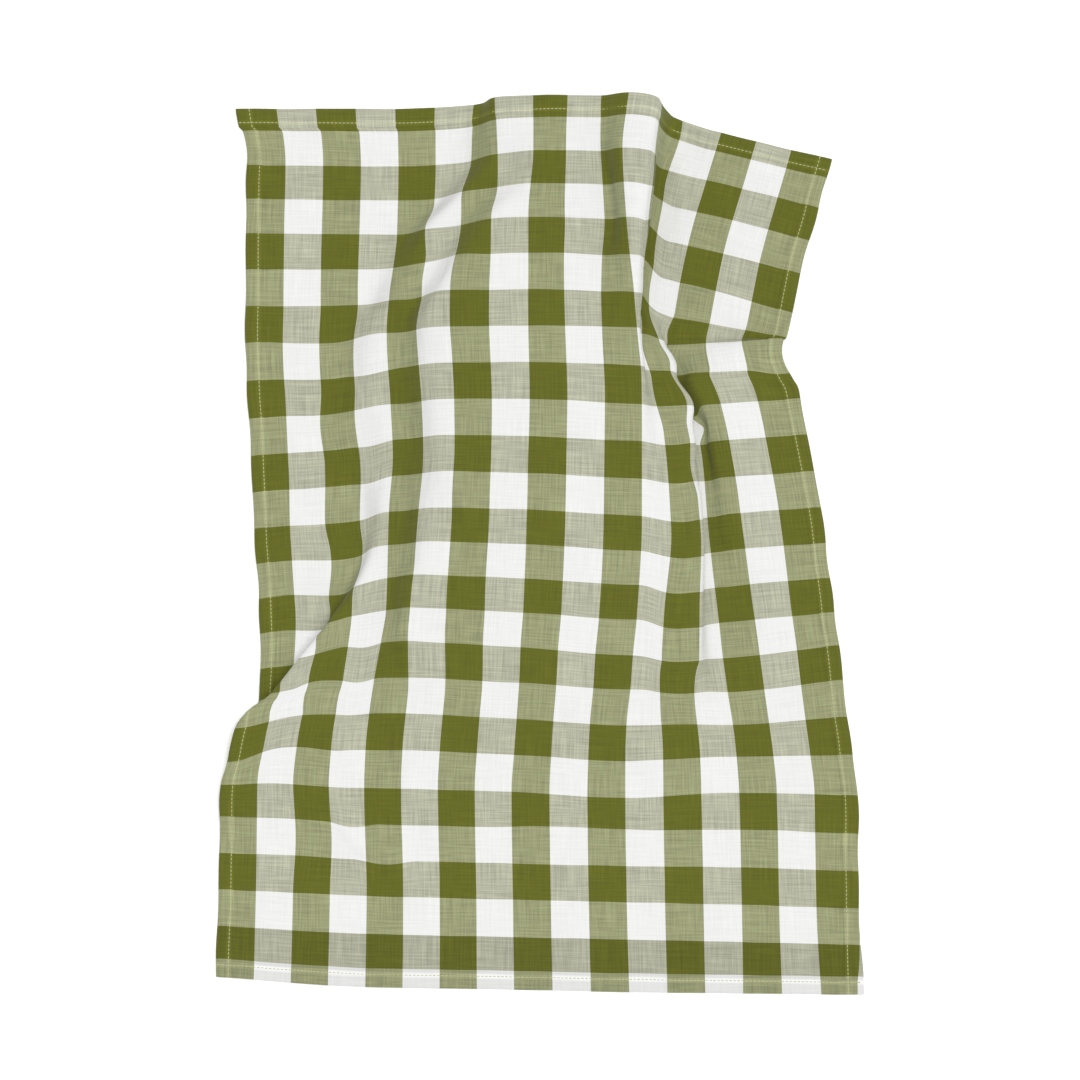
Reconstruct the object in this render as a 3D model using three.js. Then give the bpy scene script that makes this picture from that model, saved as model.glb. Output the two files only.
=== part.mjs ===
// Tea towel of cotton gingham, laid loosely on a table. Its middle stands up in a broad crown.
// Two steps climb to it on the left, the outer one running out over the left edge as a fold.
// On the right are a rib, a steep fall, a low swell beside it and a tuck across the right edge.
// The rest lies flat.
import * as THREE from "three";

// Lengths are in mm. The towel lies with X to the right, Y towards its top hem and Z up.
const CLOTH_WIDTH = 500;
const CLOTH_LENGTH = 700;
const CHECK_COLUMN = 29.2;
const CLOTH_THICKNESS = 1.4;
const HEM_THICKNESS = 2.6;
const SIDE_HEM = 10;
const END_HEM = 12;
const HEM_EDGE = 1.5;

// Lines that run down the cloth: left edge, left slope, crown, crest, foot of the fall, right edge.
const LINES = [0, 4 * CHECK_COLUMN, 8 * CHECK_COLUMN, 11 * CHECK_COLUMN, 14 * CHECK_COLUMN, CLOTH_WIDTH];

// Where those lines lie on the table, for sections at a distance down the cloth.
const SECTIONS = [
  { down: 0, x: [-233, -111, -5, 69, 141, 226], y: [341, 341, 347, 346, 322, 301] },
  { down: 44, x: [-227, -110, -5, 64, 130, 216], y: [298, 297, 304, 303, 286, 264] },
  { down: 100, x: [-228, -111, -9, 67, 115, 202], y: [244, 243, 250, 247, 234, 212] },
  { down: 156, x: [-228, -117, -9, 73, 104, 191], y: [186, 188, 192, 189, 177, 160] },
  { down: 184, x: [-228, -119, -9, 76, 101, 188], y: [157, 162, 163, 162, 155, 157] },
  { down: 240, x: [-225, -116, -8, 79, 117, 201], y: [97, 106, 105, 102, 105, 113] },
  { down: 282, x: [-223, -114, -9, 79, 127, 209], y: [53, 64, 61, 58, 62, 70] },
  { down: 324, x: [-221, -117, -10, 79, 132, 217], y: [10, 21, 18, 14, 19, 27] },
  { down: 408, x: [-216, -119, -13, 75, 140, 227], y: [-73, -57, -62, -67, -64, -56] },
  { down: 436, x: [-216, -123, -15, 72, 142, 231], y: [-101, -83, -89, -95, -92, -82] },
  { down: 464, x: [-217, -128, -16, 70, 145, 234], y: [-126, -111, -116, -121, -119, -109] },
  { down: 492, x: [-235, -132, -18, 67, 149, 237], y: [-150, -138, -143, -148, -145, -138] },
  { down: 520, x: [-241, -135, -20, 66, 152, 241], y: [-176, -166, -170, -175, -170, -168] },
  { down: 548, x: [-246, -136, -22, 66, 154, 245], y: [-193, -195, -198, -201, -198, -200] },
  { down: 632, x: [-248, -134, -21, 67, 156, 246], y: [-274, -279, -282, -284, -286, -289] },
  { down: 700, x: [-250, -135, -20, 69, 157, 251], y: [-344, -352, -354, -356, -357, -358] },
];

// Each fold is followed down the cloth: where it lies across, how wide it is and how high.
const OUTER_STEP = {
  down: [0, 44, 72, 100, 128, 156, 184, 212, 260, 300, 330, 346, 380, 408, 436, 464, 484, 500, 548, 580, 610],
  across: [192, 186, 166, 138, 122, 109, 94, 88, 93, 99, 102, 98, 82, 61, 39, 16, 0, -12, -30, -30, -30],
  span: [42, 50, 46, 38, 44, 40, 46, 50, 54, 40, 36, 36, 30, 24, 18, 18, 19, 22, 30, 30, 30],
  rise: [21, 20, 18, 16, 15, 14, 14, 14, 13, 13, 13, 14, 14, 15, 17, 17, 15, 12.5, 5, 2, 0],
};
const INNER_STEP = {
  down: [20, 72, 100, 128, 156, 184, 212, 250, 300, 350, 408, 436, 464, 492, 548],
  across: [230, 216, 188, 170, 156, 143, 142, 144, 145, 138, 132, 131, 131, 134, 136],
  span: [40, 44, 46, 46, 42, 46, 54, 58, 56, 50, 40, 36, 38, 50, 60],
  rise: [2, 10, 14, 17, 19, 20, 20, 20, 20, 17, 13, 10, 6, 3, 0],
};
const UPPER_FALL = {
  down: [0, 44, 100, 128, 156, 184, 240, 300, 340, 410],
  across: [356, 359, 360, 352, 341, 334, 333, 339, 342, 342],
  span: [52, 40, 34, 34, 32, 32, 40, 50, 60, 60],
  share: [1, 1, 1, 1, 0.85, 0.6, 0.35, 0.2, 0.1, 0],
};
const LOWER_FALL = {
  down: [0, 100, 156, 240, 340, 396, 424, 452, 480, 520],
  across: [400, 398, 394, 392, 391, 390, 389, 388, 386, 384],
  span: [40, 36, 33, 33, 36, 42, 48, 54, 60, 66],
};
const TOP_RIB = {
  down: [0, 44, 100, 140, 184, 230],
  across: [326, 328, 328, 324, 320, 318],
  left: [38, 38, 36, 34, 30, 30],
  right: [60, 50, 46, 40, 30, 30],
  height: [15, 18, 19, 12, 3, 0],
};
const CROWN_ARCH = {
  down: [0, 150, 300, 420, 500],
  across: [265, 250, 238, 238, 240],
  left: [80, 110, 120, 130, 140],
  right: [70, 90, 110, 110, 110],
  height: [1, 5, 6, 2, 0],
};
const RIGHT_SWELL = {
  down: [186, 206, 222, 240, 290, 330, 380, 440],
  across: [444, 436, 426, 426, 428, 434, 446, 454],
  left: [32, 24, 14, 14, 16, 22, 34, 40],
  right: [56, 64, 74, 74, 72, 66, 54, 50],
  height: [0, 7, 10, 9, 8, 7, 4, 0],
};
const TUCK = { down: 182, span: 12, reach: 46, start: 388, end: 500, rise: 10 };

// Two places where the weave sags towards the bottom hem: at the fall's foot and below the left slope.
const FALL_SAG = {
  down: [240, 300, 354, 410, 440, 470],
  across: [366, 366, 366, 366, 366, 364],
  left: [50, 50, 48, 46, 46, 46],
  right: [30, 40, 46, 48, 46, 44],
  sag: [0, 4, 7, 8, 4, 0],
};
const LEFT_SAG = {
  down: [150, 200, 240, 300, 350, 380, 410, 438, 470, 500, 522, 550, 590, 640],
  across: [60, 66, 72, 72, 72, 72, 60, 50, 44, 52, 46, 44, 56, 60],
  left: [50, 56, 60, 60, 56, 54, 48, 44, 40, 46, 42, 42, 50, 50],
  right: [50, 50, 50, 50, 50, 50, 50, 50, 50, 50, 50, 50, 60, 60],
  sag: [0, 4, 3, 3, 5, 7, 6, 3, 0, -4, -7, -2, -1, 0],
};

// How much a slope across the cloth draws it in, more than its height alone would.
const DRAW_IN = 1.5;
const STEEPEST = 0.04;

// Share of a slope's width that each of its rounded ends takes.
const SLOPE_ROUND = 0.35;

// The sheet is divided more finely where it is folded.
const ACROSS_ZONES = [
  { to: SIDE_HEM, cells: 1 },
  { to: SIDE_HEM + HEM_EDGE, cells: 1 },
  { to: LINES[2], cells: 22 },
  { to: LINES[3], cells: 8 },
  { to: LINES[4], cells: 13 },
  { to: 430, cells: 3 },
  { to: CLOTH_WIDTH - SIDE_HEM - HEM_EDGE, cells: 4 },
  { to: CLOTH_WIDTH - SIDE_HEM, cells: 1 },
  { to: CLOTH_WIDTH, cells: 1 },
];
const DOWN_ZONES = [
  { to: END_HEM, cells: 1 },
  { to: END_HEM + HEM_EDGE, cells: 1 },
  { to: 154, cells: 9 },
  { to: 194, cells: 7 },
  { to: 410, cells: 15 },
  { to: 500, cells: 9 },
  { to: CLOTH_LENGTH - END_HEM - HEM_EDGE, cells: 9 },
  { to: CLOTH_LENGTH - END_HEM, cells: 1 },
  { to: CLOTH_LENGTH, cells: 1 },
];

function clamp(value) {
  return Math.min(Math.max(value, 0), 1);
}

// Smooth step from 0 to 1.
function ease(value) {
  const u = clamp(value);
  return u * u * (3 - 2 * u);
}

// Slope from 0 to 1 with a straight middle and rounded ends, centred on 0 and 1 wide.
function slope(value) {
  const u = clamp(value + 0.5);
  const steep = 1 / (1 - SLOPE_ROUND);
  if (u < SLOPE_ROUND) {
    return (steep * u * u) / (2 * SLOPE_ROUND);
  }
  if (u > 1 - SLOPE_ROUND) {
    return 1 - (steep * (1 - u) * (1 - u)) / (2 * SLOPE_ROUND);
  }
  return steep * (u - SLOPE_ROUND / 2);
}

// Rounded rib from 0 up to 1 and back to 0.
function rib(value) {
  const u = Math.min(Math.abs(value), 1);
  return (1 - u * u) * (1 - u * u);
}

// Smooth curve through the values, without bulging past any of them.
function follow(places, values, place) {
  const last = places.length - 1;
  const at = Math.min(Math.max(place, places[0]), places[last]);
  const grade = (i) => (values[i + 1] - values[i]) / (places[i + 1] - places[i]);
  const tangent = (i) => {
    if (i === 0 || i === last) {
      return grade(Math.min(i, last - 1));
    }
    const before = grade(i - 1);
    const after = grade(i);
    return before * after > 0 ? (2 * before * after) / (before + after) : 0;
  };
  let i = 0;
  while (i < last - 1 && at > places[i + 1]) {
    i += 1;
  }
  const step = places[i + 1] - places[i];
  const u = (at - places[i]) / step;
  const start = (1 + 2 * u) * (1 - u) * (1 - u) * values[i] + u * (1 - u) * (1 - u) * step * tangent(i);
  const end = u * u * (3 - 2 * u) * values[i + 1] + u * u * (u - 1) * step * tangent(i + 1);
  return start + end;
}

// One fold's sizes at a distance down the cloth.
function foldAt(fold, down) {
  const sizes = {};
  for (const name of Object.keys(fold)) {
    sizes[name] = follow(fold.down, fold[name], down);
  }
  return sizes;
}

// Places on the table of the six lines, at a distance down the cloth.
function linesAt(axis, down) {
  const places = SECTIONS.map((section) => section.down);
  const lineAt = (k) => follow(places, SECTIONS.map((section) => section[axis][k]), down);
  return [...LINES.keys()].map(lineAt);
}

// Share of a ridge's height, from its own left and right widths.
function ridgeShare(ridge, across) {
  const from = across - ridge.across;
  return rib(from / (from < 0 ? ridge.left : ridge.right));
}

// Height and table Y of the cloth along one section.
function sectionShape(down) {
  const outer = foldAt(OUTER_STEP, down);
  const inner = foldAt(INNER_STEP, down);
  const upper = foldAt(UPPER_FALL, down);
  const lower = foldAt(LOWER_FALL, down);
  const ribs = [foldAt(TOP_RIB, down), foldAt(CROWN_ARCH, down), foldAt(RIGHT_SWELL, down)];
  const sags = [foldAt(FALL_SAG, down), foldAt(LEFT_SAG, down)];
  const lineY = linesAt("y", down);
  const tuck = TUCK.rise * slope((down - TUCK.down) / TUCK.span) * (1 - ease((down - TUCK.down) / TUCK.reach));

  return (across) => {
    let z = outer.rise * slope((across - outer.across) / outer.span);
    z += inner.rise * slope((across - inner.across) / inner.span);
    const fallen = upper.share * slope((across - upper.across) / upper.span)
      + (1 - upper.share) * slope((across - lower.across) / lower.span);
    z -= (outer.rise + inner.rise) * fallen;
    for (const ridge of ribs) {
      z += ridge.height * ridgeShare(ridge, across);
    }
    z += tuck * ease((across - TUCK.start) / (TUCK.end - TUCK.start));

    let y = follow(LINES, lineY, across);
    for (const hollow of sags) {
      y -= hollow.sag * ridgeShare(hollow, across);
    }
    return { y, z };
  };
}

// Points of one section. X advances less where the cloth climbs or falls.
function sectionPoints(down, stations) {
  const shapeAt = sectionShape(down);
  const lineX = linesAt("x", down);
  const reached = [0];
  for (let across = 1; across <= CLOTH_WIDTH; across += 1) {
    const climb = shapeAt(across).z - shapeAt(across - 1).z;
    reached.push(reached[across - 1] + Math.sqrt(Math.max(1 - DRAW_IN * climb * climb, STEEPEST)));
  }
  const reach = (across) => {
    const whole = Math.min(Math.floor(across), CLOTH_WIDTH - 1);
    return reached[whole] + (across - whole) * (reached[whole + 1] - reached[whole]);
  };
  return stations.map((across) => {
    let k = 0;
    while (k < LINES.length - 2 && across > LINES[k + 1]) {
      k += 1;
    }
    const share = (reach(across) - reach(LINES[k])) / (reach(LINES[k + 1]) - reach(LINES[k]));
    const { y, z } = shapeAt(across);
    return new THREE.Vector3(lineX[k] + share * (lineX[k + 1] - lineX[k]), y, z);
  });
}

function stationsOf(zones) {
  const stations = [0];
  for (const zone of zones) {
    const from = stations[stations.length - 1];
    for (let cell = 1; cell <= zone.cells; cell += 1) {
      stations.push(from + ((zone.to - from) * cell) / zone.cells);
    }
  }
  return stations;
}

// Half the thickness: the rim is the turned hem.
function halfThickness(across, down) {
  const inSide = Math.min(across, CLOTH_WIDTH - across) <= SIDE_HEM;
  const inEnd = Math.min(down, CLOTH_LENGTH - down) <= END_HEM;
  return (inSide || inEnd ? HEM_THICKNESS : CLOTH_THICKNESS) / 2;
}

// Closed sheet: a top face, an underside and the four edges between them.
function towelGeometry() {
  const across = stationsOf(ACROSS_ZONES);
  const down = stationsOf(DOWN_ZONES);
  const columns = across.length;
  const points = [];
  const halves = [];
  for (const d of down) {
    const row = sectionPoints(d, across);
    row.forEach((point, j) => {
      const half = halfThickness(across[j], d);
      point.z += half;
      points.push(point);
      halves.push(half);
    });
  }

  const faces = [];
  for (let i = 0; i < down.length - 1; i += 1) {
    for (let j = 0; j < columns - 1; j += 1) {
      const a = i * columns + j;
      const c = a + columns;
      faces.push([a, c, a + 1], [a + 1, c, c + 1]);
    }
  }
  const middle = new THREE.BufferGeometry().setFromPoints(points);
  middle.setIndex(faces.flat());
  middle.computeVertexNormals();
  const normals = middle.getAttribute("normal");

  const shell = points.map((point, k) => {
    const normal = new THREE.Vector3().fromBufferAttribute(normals, k);
    return point.clone().addScaledVector(normal, halves[k]);
  });
  points.forEach((point, k) => {
    const normal = new THREE.Vector3().fromBufferAttribute(normals, k);
    shell.push(point.clone().addScaledVector(normal, -halves[k]));
  });

  const under = points.length;
  const index = faces.flat();
  for (const [a, b, c] of faces) {
    index.push(a + under, c + under, b + under);
  }
  const wall = (a, b) => index.push(a, a + under, b + under, a, b + under, b);
  const lastRow = (down.length - 1) * columns;
  for (let j = 0; j < columns - 1; j += 1) {
    wall(j + 1, j);
    wall(lastRow + j, lastRow + j + 1);
  }
  for (let i = 0; i < down.length - 1; i += 1) {
    wall(i * columns, (i + 1) * columns);
    wall((i + 2) * columns - 1, (i + 1) * columns - 1);
  }

  const geometry = new THREE.BufferGeometry().setFromPoints(shell);
  geometry.setIndex(index);
  geometry.computeBoundingBox();
  const middlePoint = geometry.boundingBox.getCenter(new THREE.Vector3());
  geometry.translate(-middlePoint.x, -middlePoint.y, -geometry.boundingBox.min.z);
  geometry.computeVertexNormals();
  return geometry;
}

const gingham = new THREE.MeshStandardMaterial({ color: 0xa4a679, roughness: 0.92, metalness: 0 });
const towel = new THREE.Mesh(towelGeometry(), gingham);
towel.name = "towel";

const teaTowel = new THREE.Group();
teaTowel.add(towel);

export default teaTowel;
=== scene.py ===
import math

import bpy
import numpy as np
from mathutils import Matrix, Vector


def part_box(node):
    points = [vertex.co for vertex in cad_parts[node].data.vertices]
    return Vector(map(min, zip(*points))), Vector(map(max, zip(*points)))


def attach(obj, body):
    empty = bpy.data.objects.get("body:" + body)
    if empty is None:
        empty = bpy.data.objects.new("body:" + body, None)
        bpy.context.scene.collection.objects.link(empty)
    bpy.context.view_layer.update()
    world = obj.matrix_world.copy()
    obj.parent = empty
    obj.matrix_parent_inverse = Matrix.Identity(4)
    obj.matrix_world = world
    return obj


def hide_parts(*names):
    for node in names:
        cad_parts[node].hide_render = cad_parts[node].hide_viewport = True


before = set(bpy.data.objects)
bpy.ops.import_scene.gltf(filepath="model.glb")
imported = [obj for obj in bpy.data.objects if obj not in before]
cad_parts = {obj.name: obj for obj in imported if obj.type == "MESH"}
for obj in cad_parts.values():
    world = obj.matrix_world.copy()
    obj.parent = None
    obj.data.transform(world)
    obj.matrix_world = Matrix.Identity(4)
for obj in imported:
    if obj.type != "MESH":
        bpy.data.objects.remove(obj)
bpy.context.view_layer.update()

# Towel. One cut of cotton gingham, 50 by 70 cm, its four edges turned twice and stitched down.
# It lies loosely on a table. A broad crown stands up in its upper middle, with two steps on the left
# and a rib and a steep fall on the right. A low swell and a tuck lie beside the fall. The rest is flat.
MM = 0.001
CLOTH_WIDTH = 500
CLOTH_LENGTH = 700
CHECK_COLUMN = 29.2
CLOTH_THICKNESS = 0.9
CELLS_ACROSS = 178
CELLS_DOWN = 250

# Each hem, by its distances from the edge: its seam, and where it is down to single cloth again.
SIDE_HEM = {"seam": 9.3, "end": 12.6}
TOP_HEM = {"seam": 11.3, "end": 17.2}
BOTTOM_HEM = {"seam": 9.0, "end": 13.6}
HEM_THICKNESS = 2.6
HEM_FLAT = 0.4
SEAM_GROOVE = 0.5
SEAM_WIDTH = 1.2

# The turned edge is rounded over this distance, down to this share of its thickness.
ROLLED_EDGE = 6
EDGE_SHARE = 0.4
EDGE_LINES = [0, 0.4, 1.6, 4]

# Lines that run down the cloth: left edge, left slope, crown, crest, foot of the fall, right edge.
LINES = [0, 4 * CHECK_COLUMN, 8 * CHECK_COLUMN, 11 * CHECK_COLUMN, 14 * CHECK_COLUMN, CLOTH_WIDTH]

# Where those lines lie on the table, for sections at a distance down the cloth.
SECTIONS = [
    {"down": 0, "x": [-233, -111, -5, 69, 141, 226], "y": [341, 341, 347, 346, 322, 301]},
    {"down": 44, "x": [-227, -110, -5, 64, 130, 216], "y": [298, 297, 304, 303, 286, 264]},
    {"down": 100, "x": [-228, -111, -9, 67, 115, 202], "y": [244, 243, 250, 247, 234, 212]},
    {"down": 156, "x": [-228, -117, -9, 73, 104, 191], "y": [186, 188, 192, 189, 177, 160]},
    {"down": 184, "x": [-228, -119, -9, 76, 101, 188], "y": [157, 162, 163, 162, 155, 157]},
    {"down": 240, "x": [-225, -116, -8, 79, 117, 201], "y": [97, 106, 105, 102, 105, 113]},
    {"down": 282, "x": [-223, -114, -9, 79, 127, 209], "y": [53, 64, 61, 58, 62, 70]},
    {"down": 324, "x": [-221, -117, -10, 79, 132, 217], "y": [10, 21, 18, 14, 19, 27]},
    {"down": 408, "x": [-216, -119, -13, 75, 140, 227], "y": [-73, -57, -62, -67, -64, -56]},
    {"down": 436, "x": [-216, -123, -15, 72, 142, 231], "y": [-101, -83, -89, -95, -92, -82]},
    {"down": 464, "x": [-217, -128, -16, 70, 145, 234], "y": [-126, -111, -116, -121, -119, -109]},
    {"down": 492, "x": [-235, -132, -18, 67, 149, 237], "y": [-150, -138, -143, -148, -145, -138]},
    {"down": 520, "x": [-241, -135, -20, 66, 152, 241], "y": [-176, -166, -170, -175, -170, -168]},
    {"down": 548, "x": [-246, -136, -22, 66, 154, 245], "y": [-193, -195, -198, -201, -198, -200]},
    {"down": 632, "x": [-248, -134, -21, 67, 156, 246], "y": [-274, -279, -282, -284, -286, -289]},
    {"down": 700, "x": [-250, -135, -20, 69, 157, 251], "y": [-344, -352, -354, -356, -357, -358]},
]

# Each fold is followed down the cloth: where it lies across, how wide it is and how high.
OUTER_STEP = {
    "down": [0, 44, 72, 100, 128, 156, 184, 212, 260, 300, 330]
    + [346, 380, 408, 436, 464, 484, 500, 548, 580, 610],
    "across": [192, 186, 166, 138, 122, 109, 94, 88, 93, 99, 102]
    + [98, 82, 61, 39, 16, 0, -12, -30, -30, -30],
    "span": [42, 50, 46, 38, 44, 40, 46, 50, 54, 40, 36]
    + [36, 30, 24, 18, 18, 19, 22, 30, 30, 30],
    "rise": [21, 20, 18, 16, 15, 14, 14, 14, 13, 13, 13]
    + [14, 14, 15, 17, 17, 15, 12.5, 5, 2, 0],
}
INNER_STEP = {
    "down": [20, 72, 100, 128, 156, 184, 212, 250, 300, 350, 408, 436, 464, 492, 548],
    "across": [230, 216, 188, 170, 156, 143, 142, 144, 145, 138, 132, 131, 131, 134, 136],
    "span": [40, 44, 46, 46, 42, 46, 54, 58, 56, 50, 40, 36, 38, 50, 60],
    "rise": [2, 10, 14, 17, 19, 20, 20, 20, 20, 17, 13, 10, 6, 3, 0],
}
UPPER_FALL = {
    "down": [0, 44, 100, 128, 156, 184, 240, 300, 340, 410],
    "across": [356, 359, 360, 352, 341, 334, 333, 339, 342, 342],
    "span": [52, 40, 34, 34, 32, 32, 40, 50, 60, 60],
    "share": [1, 1, 1, 1, 0.85, 0.6, 0.35, 0.2, 0.1, 0],
}
LOWER_FALL = {
    "down": [0, 100, 156, 240, 340, 396, 424, 452, 480, 520],
    "across": [400, 398, 394, 392, 391, 390, 389, 388, 386, 384],
    "span": [40, 36, 33, 33, 36, 42, 48, 54, 60, 66],
}
TOP_RIB = {
    "down": [0, 44, 100, 140, 184, 230],
    "across": [326, 328, 328, 324, 320, 318],
    "left": [38, 38, 36, 34, 30, 30],
    "right": [60, 50, 46, 40, 30, 30],
    "height": [15, 18, 19, 12, 3, 0],
}
CROWN_ARCH = {
    "down": [0, 150, 300, 420, 500],
    "across": [265, 250, 238, 238, 240],
    "left": [80, 110, 120, 130, 140],
    "right": [70, 90, 110, 110, 110],
    "height": [1, 5, 6, 2, 0],
}
RIGHT_SWELL = {
    "down": [186, 206, 222, 240, 290, 330, 380, 440],
    "across": [444, 436, 426, 426, 428, 434, 446, 454],
    "left": [32, 24, 14, 14, 16, 22, 34, 40],
    "right": [56, 64, 74, 74, 72, 66, 54, 50],
    "height": [0, 7, 10, 9, 8, 7, 4, 0],
}
TUCK = {"down": 182, "span": 12, "reach": 46, "start": 388, "end": 500, "rise": 10}

# Two places where the weave sags towards the bottom hem: at the fall's foot and below the left slope.
FALL_SAG = {
    "down": [240, 300, 354, 410, 440, 470],
    "across": [366, 366, 366, 366, 366, 364],
    "left": [50, 50, 48, 46, 46, 46],
    "right": [30, 40, 46, 48, 46, 44],
    "sag": [0, 4, 7, 8, 4, 0],
}
LEFT_SAG = {
    "down": [150, 200, 240, 300, 350, 380, 410, 438, 470, 500, 522, 550, 590, 640],
    "across": [60, 66, 72, 72, 72, 72, 60, 50, 44, 52, 46, 44, 56, 60],
    "left": [50, 56, 60, 60, 56, 54, 48, 44, 40, 46, 42, 42, 50, 50],
    "right": [50, 50, 50, 50, 50, 50, 50, 50, 50, 50, 50, 50, 60, 60],
    "sag": [0, 4, 3, 3, 5, 7, 6, 3, 0, -4, -7, -2, -1, 0],
}

# How far each fall's top edge leans out over its foot.
UPPER_LEAN = {"down": [0, 30, 80, 150, 190, 230], "by": [0, 1, 2.5, 3, 2, 0]}
LOWER_LEAN = {"down": [150, 184, 200, 232, 250, 300, 400, 470], "by": [0, 2, 5, 5, 3.5, 2.5, 2, 0]}

# Small places where the cloth is pulled along the table, with their half sizes across and down.
LEFT_PULLS = [
    {"at": (146, 150), "size": (20, 30), "x": -3.5, "y": 0},
    {"at": (168, 140), "size": (40, 44), "x": 0, "y": 3},
    {"at": (102, 214), "size": (26, 18), "x": 0, "y": -3.4},
    {"at": (72, 250), "size": (34, 30), "x": -3, "y": 0},
    {"at": (100, 284), "size": (22, 36), "x": 0, "y": -3},
    {"at": (68, 354), "size": (36, 32), "x": 4.4, "y": 0},
    {"at": (176, 400), "size": (60, 80), "x": -3.6, "y": 0},
    {"at": (152, 424), "size": (34, 56), "x": -3.2, "y": 0},
    {"at": (102, 448), "size": (20, 70), "x": 0, "y": -3.4},
    {"at": (64, 462), "size": (24, 30), "x": -2.6, "y": 2.4},
]
UPPER_FALL_PULLS = [
    {"at": (380, 14), "size": (26, 46), "x": 5, "y": 0},
    {"at": (292, 90), "size": (30, 110), "x": 2.6, "y": 0},
    {"at": (366, 112), "size": (24, 80), "x": 0, "y": 10},
    {"at": (350, 120), "size": (22, 66), "x": -2.6, "y": 0},
    {"at": (380, 130), "size": (20, 60), "x": -3, "y": 0},
    {"at": (372, 157), "size": (32, 34), "x": -4.6, "y": 0},
    {"at": (358, 158), "size": (36, 40), "x": 0, "y": 6},
    {"at": (400, 170), "size": (40, 18), "x": -2.4, "y": 0},
    {"at": (332, 186), "size": (20, 36), "x": -2.2, "y": 0},
    {"at": (354, 197), "size": (24, 24), "x": -3, "y": 0},
    {"at": (406, 200), "size": (22, 44), "x": -2.6, "y": 0},
    {"at": (411, 200), "size": (20, 18), "x": -6, "y": 0},
    {"at": (392, 201), "size": (12, 17), "x": -3.4, "y": 0},
    {"at": (388, 202), "size": (26, 14), "x": 3.6, "y": 0},
]
LOWER_FALL_PULLS = [
    {"at": (394, 214), "size": (14, 18), "x": 0, "y": -4},
    {"at": (402, 226), "size": (26, 20), "x": -10, "y": 0},
    {"at": (350, 232), "size": (26, 28), "x": -3.6, "y": 0},
    {"at": (384, 237), "size": (20, 20), "x": 4.4, "y": 0},
    {"at": (410, 242), "size": (15, 18), "x": 0, "y": -7},
    {"at": (408, 255), "size": (20, 15), "x": 6, "y": 0},
    {"at": (382, 288), "size": (18, 22), "x": -3, "y": 0},
    {"at": (425, 350), "size": (64, 110), "x": -3.2, "y": 0},
    {"at": (364, 424), "size": (44, 96), "x": -10, "y": 0},
    {"at": (364, 456), "size": (32, 30), "x": 0, "y": -4},
]
RIGHT_EDGE_PULLS = [
    {"at": (500, 203), "size": (34, 14), "x": -2.6, "y": 0},
    {"at": (476, 214), "size": (50, 16), "x": 0, "y": -2.4},
    {"at": (500, 214), "size": (34, 22), "x": 0, "y": -6},
    {"at": (490, 700), "size": (14, 60), "x": -3, "y": 0},
]
BOTTOM_PULLS = [
    {"at": (320, 550), "size": (90, 18), "x": 0, "y": -2},
    {"at": (276, 578), "size": (70, 16), "x": 0, "y": 2},
    {"at": (106, 584), "size": (22, 22), "x": 0, "y": -3.8},
    {"at": (72, 590), "size": (34, 44), "x": 3, "y": 0},
    {"at": (132, 610), "size": (26, 24), "x": 0, "y": -3.8},
]
PULLS = LEFT_PULLS + UPPER_FALL_PULLS + LOWER_FALL_PULLS + RIGHT_EDGE_PULLS + BOTTOM_PULLS

# Soft creases, each from one place on the cut to another. Height is negative for a trough.
CREASES = [
    {"from": (80, 548), "to": (136, 616), "width": 7, "height": 2.6},
    {"from": (150, 196), "to": (212, 120), "width": 8, "height": -1.2},
    {"from": (30, 236), "to": (84, 330), "width": 16, "height": 1.2},
    {"from": (240, 380), "to": (268, 560), "width": 22, "height": 1.4},
    {"from": (180, 470), "to": (150, 600), "width": 16, "height": 1.2},
    {"from": (380, 470), "to": (410, 560), "width": 14, "height": 1.5},
    {"from": (300, 520), "to": (340, 640), "width": 20, "height": 0.9},
    {"from": (20, 560), "to": (60, 650), "width": 16, "height": 1.0},
]

# How much a slope across the cloth draws it in, more than its height alone would. The steepest slope
# still runs on a little: LEAST_RUN is the square of its share on the table.
DRAW_IN = 1.5
LEAST_RUN = 0.04

# The rounded share at each end of a slope, and the top of the lean's curve.
SLOPE_ROUND = 0.35
LEAN_PEAK = 1.3

# The left part of the top hem was turned a little askew. The skew ends at these distances.
ASKEW_BY = 2.6
ASKEW_ACROSS = 260
ASKEW_DOWN = {"from": 14.2, "over": 4}

# The side hems bulge out a little at each green row, some more than others.
BULGE_AT = 59.6
BULGE_EVERY = 56
BULGE_BY = 0.9
BULGE_UNEVEN = {"by": 0.5, "every": 171}
BULGE_REACH = 18

# The cloth never lies quite flat: low waves run through all of it.
WAVE_HEIGHT = 0.35
WAVES = [
    {"across": 61, "down": 143, "start": 0.4},
    {"across": 83, "down": -57, "start": 2.1},
    {"across": -39, "down": 97, "start": 4.0},
]


def clamp(value):
    return np.clip(value, 0, 1)


def ease(value):
    """Smooth step from 0 to 1."""
    u = clamp(value)
    return u * u * (3 - 2 * u)


def slope(value):
    """Slope from 0 to 1 with a straight middle and rounded ends, centred on 0 and 1 wide."""
    u = clamp(value + 0.5)
    steep = 1 / (1 - SLOPE_ROUND)
    start = steep * u * u / (2 * SLOPE_ROUND)
    end = 1 - steep * (1 - u) ** 2 / (2 * SLOPE_ROUND)
    middle = steep * (u - SLOPE_ROUND / 2)
    return np.where(u < SLOPE_ROUND, start, np.where(u > 1 - SLOPE_ROUND, end, middle))


def rib(value):
    """Rounded rib from 0 up to 1 and back to 0."""
    u = clamp(np.abs(value))
    return (1 - u * u) ** 2


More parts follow.
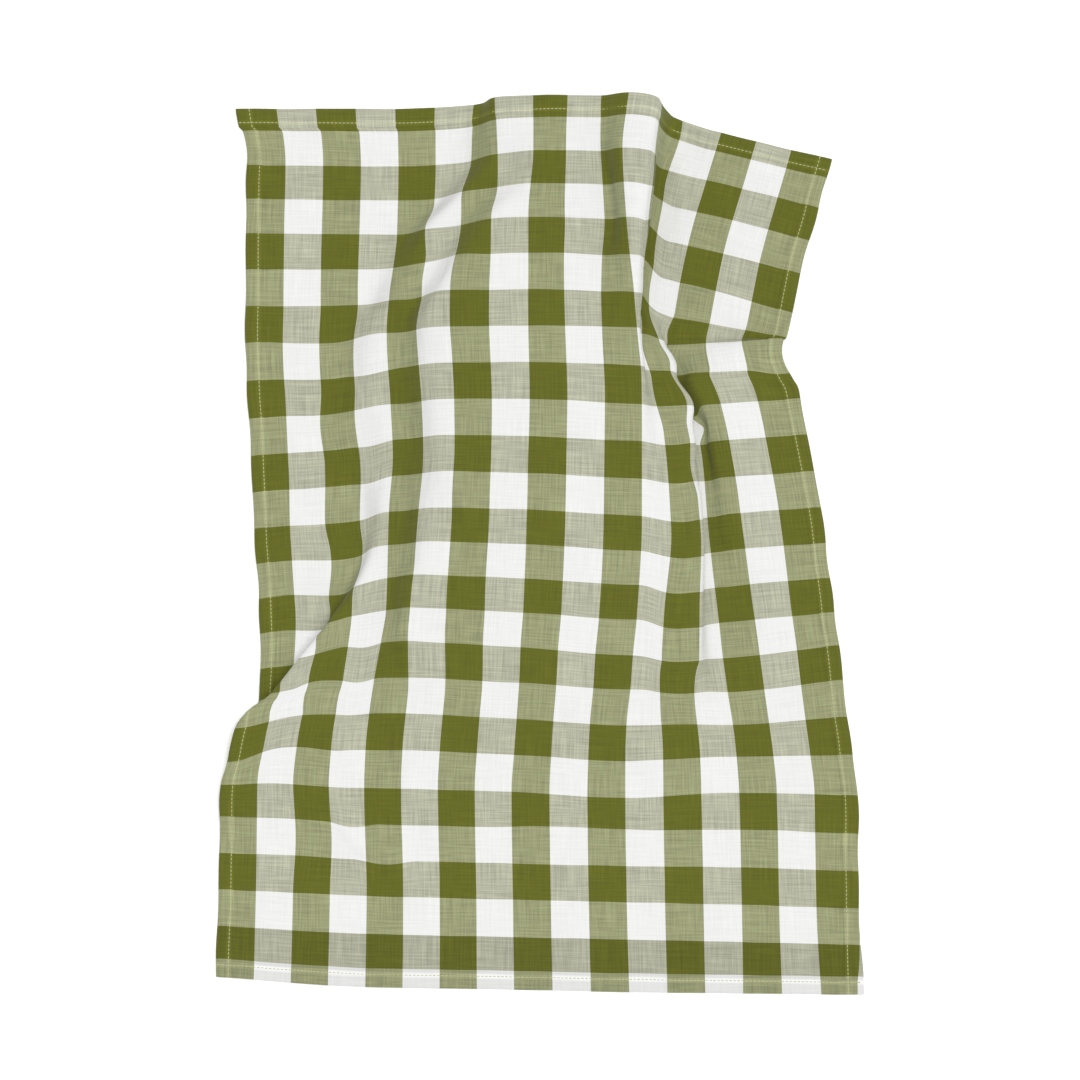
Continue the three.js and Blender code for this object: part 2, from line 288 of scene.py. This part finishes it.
def follow(places, values, at):
    """Smooth curves through the rows of values, without bulging past any of them."""
    places = np.asarray(places, float)
    values = np.asarray(values, float)
    step = np.diff(places)
    grade = (np.diff(values, axis=0).T / step).T
    before, after = grade[:-1], grade[1:]
    turns = before * after <= 0
    middle = np.where(turns, 0, 2 * before * after / np.where(turns, 1, before + after))
    tangent = np.concatenate([grade[:1], middle, grade[-1:]])
    at = np.clip(at, places[0], places[-1])
    i = np.clip(np.searchsorted(places, at) - 1, 0, len(places) - 2)
    u = (at - places[i]) / step[i]
    h = step[i]
    if values.ndim > 1:
        u = u[:, None]
        h = h[:, None]
    start = (1 + 2 * u) * (1 - u) ** 2 * values[i] + u * (1 - u) ** 2 * h * tangent[i]
    end = u * u * (3 - 2 * u) * values[i + 1] + u * u * (u - 1) * h * tangent[i + 1]
    return start + end


def fold_at(fold, down):
    """One fold's sizes at distances down the cloth, as columns."""
    return {name: follow(fold["down"], sizes, down)[:, None] for name, sizes in fold.items()}


def ridge_share(ridge, across):
    """Share of a ridge's height, from its own left and right widths."""
    away = across - ridge["across"]
    return rib(away / np.where(away < 0, ridge["left"], ridge["right"]))


def lean_share(value):
    """Sideways lean along a fall: its top edge goes out (1) and its foot goes in (-1)."""
    u = 2 * math.pi * np.clip(value, -0.5, 0.5)
    return -(np.sin(u) + np.sin(2 * u) / 2) / LEAN_PEAK


def crease_height(crease, across, down):
    """Height of one soft crease, which fades out at both ends."""
    (s0, t0), (s1, t1) = crease["from"], crease["to"]
    length = math.hypot(s1 - s0, t1 - t0)
    along = ((across - s0) * (s1 - s0) + (down - t0) * (t1 - t0)) / length
    aside = ((across - s0) * (t1 - t0) - (down - t0) * (s1 - s0)) / length
    return crease["height"] * rib(2 * along / length - 1) * rib(aside / (2 * crease["width"]))


def cloth_points(across, down):
    """Table places of the middle of the cloth, one row of points for each distance down."""
    outer = fold_at(OUTER_STEP, down)
    inner = fold_at(INNER_STEP, down)
    upper = fold_at(UPPER_FALL, down)
    lower = fold_at(LOWER_FALL, down)
    s = np.arange(CLOTH_WIDTH + 1.0)[None, :]
    t = down[:, None]

    z = outer["rise"] * slope((s - outer["across"]) / outer["span"])
    z = z + inner["rise"] * slope((s - inner["across"]) / inner["span"])
    fallen = upper["share"] * slope((s - upper["across"]) / upper["span"])
    fallen = fallen + (1 - upper["share"]) * slope((s - lower["across"]) / lower["span"])
    z = z - (outer["rise"] + inner["rise"]) * fallen
    for ridge in (fold_at(TOP_RIB, down), fold_at(CROWN_ARCH, down), fold_at(RIGHT_SWELL, down)):
        z = z + ridge["height"] * ridge_share(ridge, s)
    puff = slope((t - TUCK["down"]) / TUCK["span"]) * (1 - ease((t - TUCK["down"]) / TUCK["reach"]))
    z = z + TUCK["rise"] * puff * ease((s - TUCK["start"]) / (TUCK["end"] - TUCK["start"]))

    places = [section["down"] for section in SECTIONS]
    line_x = follow(places, [section["x"] for section in SECTIONS], down)
    line_y = follow(places, [section["y"] for section in SECTIONS], down)
    y = follow(LINES, line_y.T, s[0]).T
    for hollow in (fold_at(FALL_SAG, down), fold_at(LEFT_SAG, down)):
        y = y - hollow["sag"] * ridge_share(hollow, s)

    run = np.sqrt(np.maximum(1 - DRAW_IN * np.diff(z, axis=1) ** 2, LEAST_RUN))
    reach = np.concatenate([np.zeros((len(down), 1)), np.cumsum(run, axis=1)], axis=1)
    x = np.empty_like(z)
    for row in range(len(down)):
        held = np.interp(LINES, s[0], reach[row])
        x[row] = np.interp(reach[row], held, line_x[row])

    for fall, lean in ((upper, UPPER_LEAN), (lower, LOWER_LEAN)):
        x = x + fold_at(lean, down)["by"] * lean_share((s - fall["across"]) / fall["span"])
    askew = 1 - ease((t - ASKEW_DOWN["from"]) / ASKEW_DOWN["over"])
    x = x - ASKEW_BY * askew * (1 - ease(s / ASKEW_ACROSS))
    uneven = 1 + BULGE_UNEVEN["by"] * np.sin(2 * math.pi * t / BULGE_UNEVEN["every"])
    bulge = BULGE_BY * uneven * (0.5 + 0.5 * np.cos(2 * math.pi * (t - BULGE_AT) / BULGE_EVERY))
    x = x + bulge * (ease((s - CLOTH_WIDTH) / BULGE_REACH + 1) - ease(1 - s / BULGE_REACH))
    for pull in PULLS:
        (s0, t0), (half_across, half_down) = pull["at"], pull["size"]
        share = rib((s - s0) / half_across) * rib((t - t0) / half_down)
        x = x + pull["x"] * share
        y = y + pull["y"] * share
    for crease in CREASES:
        z = z + crease_height(crease, s, t)
    for wave in WAVES:
        turn = 2 * math.pi * (s / wave["across"] + t / wave["down"]) + wave["start"]
        z = z + WAVE_HEIGHT * (1 + np.sin(turn))
    table = [np.array([np.interp(across, s[0], row) for row in place]) for place in (x, y, z)]
    return np.stack(table, axis=-1)


def hem_lines(hem):
    """Distances from an edge of the mesh lines that shape its hem."""
    seam, end = hem["seam"], hem["end"]
    past_seam = (seam + end) / 2 + HEM_FLAT
    return EDGE_LINES + [seam - SEAM_WIDTH, seam, seam + SEAM_WIDTH, past_seam, end]


def mesh_lines(length, first_hem, last_hem, cells):
    """Mesh lines along one side of the cut: close together in both hems and even between them."""
    first = hem_lines(first_hem)
    last = [length - distance for distance in reversed(hem_lines(last_hem))]
    plain = np.linspace(first[-1], last[0], cells + 3 - len(first) - len(last))
    return np.concatenate([first, plain[1:-1], last])


def hem_share(hem, distance):
    """Share of a hem's extra thickness at distances from its edge."""
    flat_end = hem["seam"] + HEM_FLAT
    return 1 - ease((distance - flat_end) / (hem["end"] - flat_end))


def groove_share(hem, distance):
    """Share of the seam's depth at distances from its edge."""
    return rib((distance - hem["seam"]) / SEAM_WIDTH)


def towel_thickness(across, down):
    """Thickness of the cloth with its turned hems, pulled in along their seams."""
    edges = [
        (SIDE_HEM, across),
        (SIDE_HEM, CLOTH_WIDTH - across),
        (TOP_HEM, down),
        (BOTTOM_HEM, CLOTH_LENGTH - down),
    ]
    turned = np.maximum.reduce([hem_share(hem, distance) for hem, distance in edges])
    sewn = np.maximum.reduce([groove_share(hem, distance) for hem, distance in edges])
    full = CLOTH_THICKNESS + (HEM_THICKNESS - CLOTH_THICKNESS) * turned - SEAM_GROOVE * sewn
    inset = np.minimum.reduce([distance for hem, distance in edges])
    return full * (EDGE_SHARE + (1 - EDGE_SHARE) * np.sqrt(clamp(inset / ROLLED_EDGE)))


bpy.ops.object.select_all(action="DESELECT")
bpy.ops.mesh.primitive_grid_add(
    x_subdivisions=CELLS_ACROSS,
    y_subdivisions=CELLS_DOWN,
    size=1,
    calc_uvs=True,
)
towel = bpy.context.object
towel.name = "gingham_towel"

flat = np.empty(3 * len(towel.data.vertices))
towel.data.vertices.foreach_get("co", flat)
flat = flat.reshape(-1, 3)
column = np.rint((flat[:, 0] + 0.5) * CELLS_ACROSS).astype(int)
row = np.rint((0.5 - flat[:, 1]) * CELLS_DOWN).astype(int)
columns_at = mesh_lines(CLOTH_WIDTH, SIDE_HEM, SIDE_HEM, CELLS_ACROSS)
rows_at = mesh_lines(CLOTH_LENGTH, TOP_HEM, BOTTOM_HEM, CELLS_DOWN)
across = columns_at[column]
down = rows_at[row]
thickness = towel_thickness(across, down)
cloth = cloth_points(columns_at, rows_at)[row, column]
cloth[:, 2] = np.maximum(cloth[:, 2], 0) + thickness / 2

# The pattern follows the cloth by its place on the cut.
cut_map = towel.data.uv_layers[0]
cut_map.name = "cut"
corner = np.empty(len(towel.data.loops), dtype=int)
towel.data.loops.foreach_get("vertex_index", corner)
cut_places = np.stack([across / CLOTH_WIDTH, 1 - down / CLOTH_LENGTH], axis=1)
cut_map.data.foreach_set("uv", cut_places[corner].ravel())

# The cloth goes where the solid lies: the middles of their boxes agree.
low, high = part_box("towel")
middle = [(low[axis] + high[axis]) / 2 for axis in (0, 1)]
own_middle = (cloth.min(axis=0) + cloth.max(axis=0)) / 2
laid_at = np.array([middle[0] - own_middle[0] * MM, middle[1] - own_middle[1] * MM, 0.0])
towel.data.vertices.foreach_set("co", (cloth * MM + laid_at).ravel())

# The cloth gets its thickness, which is less along the rolled edge.
share = np.round(thickness / HEM_THICKNESS, 3)
layers = towel.vertex_groups.new(name="thickness")
for layer in np.unique(share):
    layers.add(np.flatnonzero(share == layer).tolist(), float(layer), "REPLACE")
wall = towel.modifiers.new("wall", "SOLIDIFY")
wall.thickness = HEM_THICKNESS * MM
wall.offset = 0
wall.vertex_group = layers.name
wall.use_even_offset = False
bpy.ops.object.modifier_apply(modifier=wall.name)
bpy.ops.object.shade_smooth_by_angle(angle=math.radians(60))

# Dyed cotton yarn in plain weave. Warp and weft each change from green to white at every check.
FIRST_ROW = 17.6
CHECK_ROW = 28
HEM_TAKE = 3.2
LAST_GREEN_COLUMN = 16
LAST_GREEN_ROW = 24
# Painted shade on the last green row and the bottom hem, as a share of their colour.
LAST_ROW_PAINTED_SHADE = 0.12
WHITE_EDGE_FROM = 655
WHITE_EDGE_TAPER = 0.1
YARN_FINENESS = 0.8
YARN_LENGTH = 0.04
YARN_SHADE = {"all": 0.18, "dyed": 0.18, "mixed": 0.45}
# Painted highlight along each seam: how far it reaches and how much paler it makes the cloth.
SEAM_REACH = 2.6
SEAM_PAINTED_HIGHLIGHT = 0.3
GREEN = (0.111, 0.120, 0.0128, 1)
GREEN_WARP_WHITE_WEFT = (0.282, 0.295, 0.158, 1)
WHITE_WARP_GREEN_WEFT = (0.402, 0.406, 0.309, 1)
WHITE = (0.742, 0.742, 0.735, 1)

gingham = bpy.data.materials.new("gingham_cotton")
gingham.use_nodes = True
nodes = gingham.node_tree.nodes
links = gingham.node_tree.links
surface = nodes["Principled BSDF"]
surface.inputs["Roughness"].default_value = 0.92
surface.inputs["Sheen Weight"].default_value = 0.12
surface.inputs["Specular IOR Level"].default_value = 0.2


def maths(operation, *inputs):
    """A Math node in the material in hand, fed by sockets or plain numbers. Gives its output."""
    node = nodes.new("ShaderNodeMath")
    node.operation = operation
    for slot, given in zip(node.inputs, inputs):
        if isinstance(given, (int, float)):
            slot.default_value = given
        else:
            links.new(given, slot)
    return node.outputs[0]


def colour_mix(share, first, second, blend="MIX"):
    """A Mix node for colours in the material in hand, from first to second. Gives its output."""
    node = nodes.new("ShaderNodeMix")
    node.data_type = "RGBA"
    node.blend_type = blend
    for slot, given in ((node.inputs[0], share), (node.inputs[6], first), (node.inputs[7], second)):
        if isinstance(given, (int, float, tuple)):
            slot.default_value = given
        else:
            links.new(given, slot)
    return node.outputs[2]


def yarn_streaks(x, y):
    """Uneven streaks of yarn on two given coordinates."""
    place = nodes.new("ShaderNodeCombineXYZ")
    links.new(x, place.inputs[0])
    links.new(y, place.inputs[1])
    noise = nodes.new("ShaderNodeTexNoise")
    noise.inputs["Scale"].default_value = YARN_FINENESS
    noise.inputs["Detail"].default_value = 3
    links.new(place.outputs[0], noise.inputs["Vector"])
    return noise.outputs["Fac"]


cut = nodes.new("ShaderNodeUVMap")
cut.uv_map = "cut"
places = nodes.new("ShaderNodeSeparateXYZ")
links.new(cut.outputs["UV"], places.inputs[0])
cloth_s = maths("MULTIPLY", places.outputs["X"], CLOTH_WIDTH)
cloth_t = maths("MULTIPLY", maths("SUBTRACT", 1, places.outputs["Y"]), CLOTH_LENGTH)

# The white warp past the last green column shows only near the bottom hem, in a thin wedge.
white_edge = maths("MULTIPLY", maths("SUBTRACT", cloth_t, WHITE_EDGE_FROM), WHITE_EDGE_TAPER)
in_white_edge = maths("GREATER_THAN", maths("ADD", cloth_s, white_edge), CLOTH_WIDTH)
last_column = maths("ADD", in_white_edge, LAST_GREEN_COLUMN)
check_column = maths("MINIMUM", maths("FLOOR", maths("DIVIDE", cloth_s, CHECK_COLUMN)), last_column)
# The bottom hem is turned up over the end of the last row.
hem_take = maths("MULTIPLY", maths("GREATER_THAN", cloth_t, CLOTH_LENGTH - CHECK_ROW), HEM_TAKE)
row_place = maths("ADD", maths("ADD", cloth_t, hem_take), CHECK_ROW - FIRST_ROW)
check_row = maths("FLOOR", maths("DIVIDE", row_place, CHECK_ROW))
white_warp = maths("MODULO", check_column, 2)
white_weft = maths("MODULO", check_row, 2)

# Each yarn is a little uneven, which shows most where green crosses white and least in white.
warp_yarn = yarn_streaks(cloth_s, maths("MULTIPLY", cloth_t, YARN_LENGTH))
weft_yarn = yarn_streaks(maths("MULTIPLY", cloth_s, YARN_LENGTH), cloth_t)
yarns = maths("SUBTRACT", maths("ADD", warp_yarn, weft_yarn), 1)
mixed = maths("ABSOLUTE", maths("SUBTRACT", white_warp, white_weft))
dyed = maths("SUBTRACT", 2, maths("ADD", white_warp, white_weft))
mixed_shade = maths("MULTIPLY", mixed, YARN_SHADE["mixed"])
dyed_shade = maths("MULTIPLY", dyed, YARN_SHADE["dyed"])
contrast = maths("ADD", maths("ADD", mixed_shade, dyed_shade), YARN_SHADE["all"])
yarn_shade = maths("ADD", maths("MULTIPLY", yarns, contrast), 1)
# Along each seam a pale band is painted in: a painted highlight where the thread and its groove catch
# the light.
from_middle = maths("ABSOLUTE", maths("SUBTRACT", cloth_s, CLOTH_WIDTH / 2))
side_away = maths("ABSOLUTE", maths("SUBTRACT", from_middle, CLOTH_WIDTH / 2 - SIDE_HEM["seam"]))
top_away = maths("ABSOLUTE", maths("SUBTRACT", cloth_t, TOP_HEM["seam"]))
bottom_away = maths("ABSOLUTE", maths("SUBTRACT", cloth_t, CLOTH_LENGTH - BOTTOM_HEM["seam"]))
seam_away = maths("MINIMUM", side_away, maths("MINIMUM", top_away, bottom_away))
seam_share = maths("MAXIMUM", maths("SUBTRACT", 1, maths("DIVIDE", seam_away, SEAM_REACH)), 0)
seam_highlight = maths("MULTIPLY", seam_share, SEAM_PAINTED_HIGHLIGHT)
# The last green row and the hem below it are painted a little darker, whites too: painted shade along
# the bottom hem.
hem_painted_shade = maths("MULTIPLY", maths("GREATER_THAN", check_row, LAST_GREEN_ROW - 1), LAST_ROW_PAINTED_SHADE)
shade = maths("MULTIPLY", yarn_shade, maths("ADD", maths("SUBTRACT", seam_highlight, hem_painted_shade), 1))
green_weft_colour = colour_mix(white_warp, GREEN, WHITE_WARP_GREEN_WEFT)
white_weft_colour = colour_mix(white_warp, GREEN_WARP_WHITE_WEFT, WHITE)
cell_colour = colour_mix(white_weft, green_weft_colour, white_weft_colour)
shaded = colour_mix(1.0, cell_colour, shade, "MULTIPLY")
links.new(shaded, surface.inputs["Base Color"])

relief = nodes.new("ShaderNodeBump")
relief.inputs["Strength"].default_value = 0.35
relief.inputs["Distance"].default_value = 0.3 * MM
links.new(yarns, relief.inputs["Height"])
links.new(relief.outputs["Normal"], surface.inputs["Normal"])

towel.data.materials.append(gingham)
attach(towel, "root")
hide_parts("towel")

# Hem stitching. Cream cotton thread, machine sewn through the four hems in short straight stitches.
STITCH_LENGTH = 2.8
STITCH_STEP = 3.1
THREAD_WIDTH = 0.85
THREAD_FLATNESS = 0.7
THREAD_COLOUR = (0.46, 0.46, 0.26, 1)


def seam_path(name, across, down):
    """Curve on top of the cloth along one seam."""
    points = cloth_points(np.unique(across), np.unique(down)).reshape(-1, 3)
    points[:, 2] = np.maximum(points[:, 2], 0) + HEM_THICKNESS - SEAM_GROOVE
    shape = bpy.data.curves.new(name, "CURVE")
    shape.dimensions = "3D"
    spline = shape.splines.new("POLY")
    spline.points.add(len(points) - 1)
    for point, place in zip(spline.points, points * MM + laid_at):
        point.co = (*place, 1)
    path = bpy.data.objects.new(name, shape)
    bpy.context.collection.objects.link(path)
    return path


seam_places = {
    "left_seam": (SIDE_HEM["seam"], rows_at[2:-2]),
    "right_seam": (CLOTH_WIDTH - SIDE_HEM["seam"], rows_at[2:-2]),
    "top_seam": (columns_at[2:-2], TOP_HEM["seam"]),
    "bottom_seam": (columns_at[2:-2], CLOTH_LENGTH - BOTTOM_HEM["seam"]),
}
seams = []
for seam_name, (seam_across, seam_down) in seam_places.items():
    path = seam_path(seam_name + "_path", seam_across, seam_down)
    bpy.ops.object.select_all(action="DESELECT")
    bpy.ops.mesh.primitive_uv_sphere_add(segments=6, ring_count=5, radius=THREAD_WIDTH * MM / 2)
    seam = bpy.context.object
    seam.name = seam_name
    seam.scale = (STITCH_LENGTH / THREAD_WIDTH, 1, THREAD_FLATNESS)
    bpy.ops.object.transform_apply(location=False, rotation=False, scale=True)
    bpy.ops.object.shade_smooth()
    repeat = seam.modifiers.new("repeat", "ARRAY")
    repeat.fit_type = "FIT_CURVE"
    repeat.curve = path
    repeat.use_relative_offset = False
    repeat.use_constant_offset = True
    repeat.constant_offset_displace = (STITCH_STEP * MM, 0, 0)
    follow_path = seam.modifiers.new("follow", "CURVE")
    follow_path.object = path
    follow_path.deform_axis = "POS_X"
    bpy.ops.object.modifier_apply(modifier=repeat.name)
    bpy.ops.object.modifier_apply(modifier=follow_path.name)
    bpy.data.objects.remove(path)
    seams.append(seam)
bpy.ops.object.select_all(action="DESELECT")
for seam in seams:
    seam.select_set(True)
bpy.context.view_layer.objects.active = seams[0]
bpy.ops.object.join()
stitching = bpy.context.object
stitching.name = "hem_stitching"

# The thread's material is now the one in hand.
thread = bpy.data.materials.new("cream_thread")
thread.use_nodes = True
nodes = thread.node_tree.nodes
links = thread.node_tree.links
surface = nodes["Principled BSDF"]
surface.inputs["Roughness"].default_value = 0.75
surface.inputs["Sheen Weight"].default_value = 0.1
object_place = nodes.new("ShaderNodeTexCoord")
ply = nodes.new("ShaderNodeTexNoise")
ply.inputs["Scale"].default_value = 900
links.new(object_place.outputs["Object"], ply.inputs["Vector"])
ply_shade = maths("ADD", maths("MULTIPLY", ply.outputs["Fac"], 0.4), 0.8)
links.new(colour_mix(1.0, THREAD_COLOUR, ply_shade, "MULTIPLY"), surface.inputs["Base Color"])
stitching.data.materials.append(thread)
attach(stitching, "root")

# Table. A plain white sheet under the towel, larger than the view, lit a little from beneath.
TABLE_SIZE = 6
bpy.ops.object.select_all(action="DESELECT")
bpy.ops.mesh.primitive_plane_add(size=TABLE_SIZE, location=(0, 0, 0))
table = bpy.context.object
table.name = "table_top"
bpy.ops.object.transform_apply(location=True, rotation=True, scale=True)
table_white = bpy.data.materials.new("table_white")
table_white.use_nodes = True
surface = table_white.node_tree.nodes["Principled BSDF"]
surface.inputs["Base Color"].default_value = (0.95, 0.95, 0.95, 1)
surface.inputs["Roughness"].default_value = 0.9
surface.inputs["Emission Color"].default_value = (1, 1, 1, 1)
surface.inputs["Emission Strength"].default_value = 0.2
table.data.materials.append(table_white)

# Camera. It looks down steeply from the bottom hem's side, through a long lens.
PICTURE_SCALE = 1.29
PICTURE_SIZE = 1080
CAMERA_ELEVATION = math.radians(79)
CAMERA_DISTANCE = 20
bpy.ops.object.camera_add()
camera = bpy.context.object
camera.data.sensor_width = 36
camera.data.lens = camera.data.sensor_width * CAMERA_DISTANCE / (PICTURE_SIZE / PICTURE_SCALE * MM)
camera.location = (
    laid_at[0],
    laid_at[1] - CAMERA_DISTANCE * math.cos(CAMERA_ELEVATION),
    CAMERA_DISTANCE * math.sin(CAMERA_ELEVATION),
)
camera.rotation_euler = (math.pi / 2 - CAMERA_ELEVATION, 0, 0)
bpy.context.scene.camera = camera

# Studio light. Wide soft light from above and a little to the right, with even white light all round.
bpy.context.scene.view_settings.view_transform = "Standard"
world = bpy.data.worlds.new("studio")
world.use_nodes = True
world.node_tree.nodes["Background"].inputs["Color"].default_value = (1, 1, 1, 1)
world.node_tree.nodes["Background"].inputs["Strength"].default_value = 0.62
bpy.context.scene.world = world
bpy.ops.object.light_add(type="SUN", rotation=(math.radians(3), math.radians(11), 0))
studio_light = bpy.context.object
studio_light.data.energy = 1.85
studio_light.data.angle = math.radians(40)
